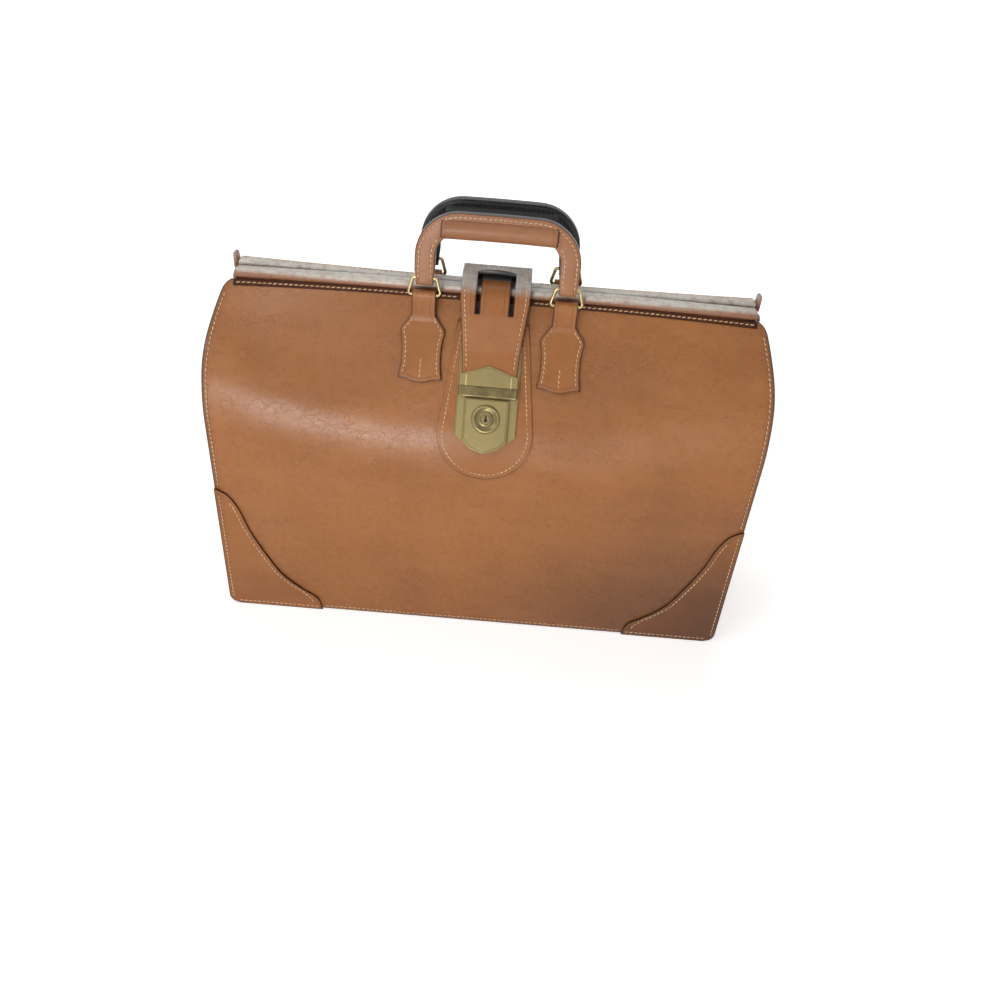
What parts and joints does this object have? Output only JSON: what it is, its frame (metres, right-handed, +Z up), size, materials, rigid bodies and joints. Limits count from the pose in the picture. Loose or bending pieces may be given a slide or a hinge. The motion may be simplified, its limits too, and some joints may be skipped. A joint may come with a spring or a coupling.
{
  "type": "briefcase",
  "caption": "Frame-top leather briefcase with two arched handles, hinged mouth frames, folded ends and a closing strap with a key lock.",
  "frame": {"origin": "centre of the base on the surface it stands on", "axes": "+X to the viewer's right along the width, front with the lock towards -Y, +Z up"},
  "size_m": [0.43, 0.1446, 0.3486],
  "materials": {
    "tan_leather": "waxed bridle leather, tan",
    "handle_leather": "waxed bridle leather, darker from handling",
    "gusset_leather": "softer tan leather",
    "board": "board covered in brown cloth",
    "old_brass": "aged brass, worn bright on the edges",
    "steel": "plain steel strip"
  },
  "bodies": {
    "case": {"base_panel": "tan_leather", "base_board": "board", "front_panel": "tan_leather", "back_panel": "tan_leather", "front_wall_board": "board", "back_wall_board": "board", "front_right_corner_patch": "tan_leather", "front_left_corner_patch": "tan_leather", "back_right_corner_patch": "tan_leather", "back_left_corner_patch": "tan_leather", "right_gusset": "gusset_leather", "left_gusset": "gusset_leather"},
    "front_side": {"front_slope_stiffener": "board", "front_right_tab": "tan_leather", "front_left_tab": "tan_leather", "lock_patch": "tan_leather", "lock_backplate": "old_brass", "lock_case": "old_brass", "lock_collar": "old_brass"},
    "back_side": {"back_slope_stiffener": "board", "back_right_tab": "tan_leather", "back_left_tab": "tan_leather", "strap_anchor": "tan_leather"},
    "frame_pivot": {"frame_rivets": "old_brass"},
    "front_frame": {"front_frame_steel": "steel", "front_bar_cover": "tan_leather"},
    "back_frame": {"back_frame_steel": "steel", "back_bar_cover": "tan_leather", "back_bar_ears": "tan_leather", "strap_rear_bend": "tan_leather"},
    "strap": {"closing_strap": "tan_leather", "strap_middle_strip": "tan_leather", "hasp_plate": "old_brass", "hasp_tongue": "old_brass", "hasp_rivets": "old_brass"},
    "front_rings": {"front_right_ring": "old_brass", "front_left_ring": "old_brass"},
    "front_handle": {"front_handle_strap": "handle_leather", "front_handle_grip": "handle_leather"},
    "back_rings": {"back_right_ring": "old_brass", "back_left_ring": "old_brass"},
    "back_handle": {"back_handle_strap": "handle_leather", "back_handle_grip": "handle_leather"},
    "key_plug": {"key_plug": "old_brass"},
    "lock_bolt": {"lock_bolt": "old_brass"}
  },
  "joints": [
    {"name": "frame_rise", "type": "slide", "parent": "case", "child": "frame_pivot", "axis": [0, 0, 1], "range_m": [0, 0.0352]},
    {"name": "mouth_front", "type": "hinge", "parent": "frame_pivot", "child": "front_frame", "pos_m": [0, 0, 0.221], "axis": [1, 0, 0], "range_deg": [0, 45], "deforming": ["right_gusset", "left_gusset"]},
    {"name": "mouth_back", "type": "hinge", "parent": "frame_pivot", "child": "back_frame", "pos_m": [0, 0, 0.221], "axis": [-1, 0, 0], "range_deg": [0, 45.5], "deforming": ["strap_rear_bend"]},
    {"name": "front_side_lean", "type": "hinge", "parent": "case", "child": "front_side", "pos_m": [0, -0.065, 0.14], "axis": [1, 0, 0], "range_deg": [0, 16.2], "deforming": ["front_panel"]},
    {"name": "back_side_lean", "type": "hinge", "parent": "case", "child": "back_side", "pos_m": [0, 0.065, 0.14], "axis": [-1, 0, 0], "range_deg": [0, 16.2], "deforming": ["back_panel", "strap_anchor"]},
    {"name": "strap_lift", "type": "hinge", "parent": "back_frame", "child": "strap", "pos_m": [0, 0.12, 0.285], "axis": [-1, 0, 0], "range_deg": [0, 45.5], "deforming": ["closing_strap", "strap_middle_strip"]},
    {"name": "front_ring_swing", "type": "hinge", "parent": "front_side", "child": "front_rings", "pos_m": [0, -0.021, 0.2855], "axis": [-1, 0, 0], "range_deg": [-100, 0]},
    {"name": "front_handle_swing", "type": "hinge", "parent": "front_rings", "child": "front_handle", "pos_m": [0, -0.02009, 0.29847], "axis": [-1, 0, 0], "range_deg": [-45, 0]},
    {"name": "back_ring_swing", "type": "hinge", "parent": "back_side", "child": "back_rings", "pos_m": [0, 0.021, 0.2855], "axis": [1, 0, 0], "range_deg": [-100, 0]},
    {"name": "back_handle_swing", "type": "hinge", "parent": "back_rings", "child": "back_handle", "pos_m": [0, 0.02009, 0.29847], "axis": [1, 0, 0], "range_deg": [-45, 0]},
    {"name": "key_turn", "type": "hinge", "parent": "front_side", "child": "key_plug", "pos_m": [0, -0.06259, 0.20736], "axis": [0, -0.8731, 0.4876], "range_deg": [0, 90]},
    {"name": "bolt_slide", "type": "slide", "parent": "front_side", "child": "lock_bolt", "axis": [-1, 0, 0], "range_m": [0, 0.0081]}
  ],
  "couplings": [
    {"joint": "frame_rise", "follows": "mouth_front", "m_per_rad": 0.0438},
    {"joint": "mouth_back", "follows": "mouth_front", "ratio": 1},
    {"joint": "front_side_lean", "follows": "mouth_front", "ratio": 0.3554},
    {"joint": "back_side_lean", "follows": "mouth_front", "ratio": 0.3554},
    {"joint": "strap_lift", "follows": "mouth_front", "ratio": 1},
    {"joint": "bolt_slide", "follows": "key_turn", "m_per_rad": 0.005093}
  ]
}
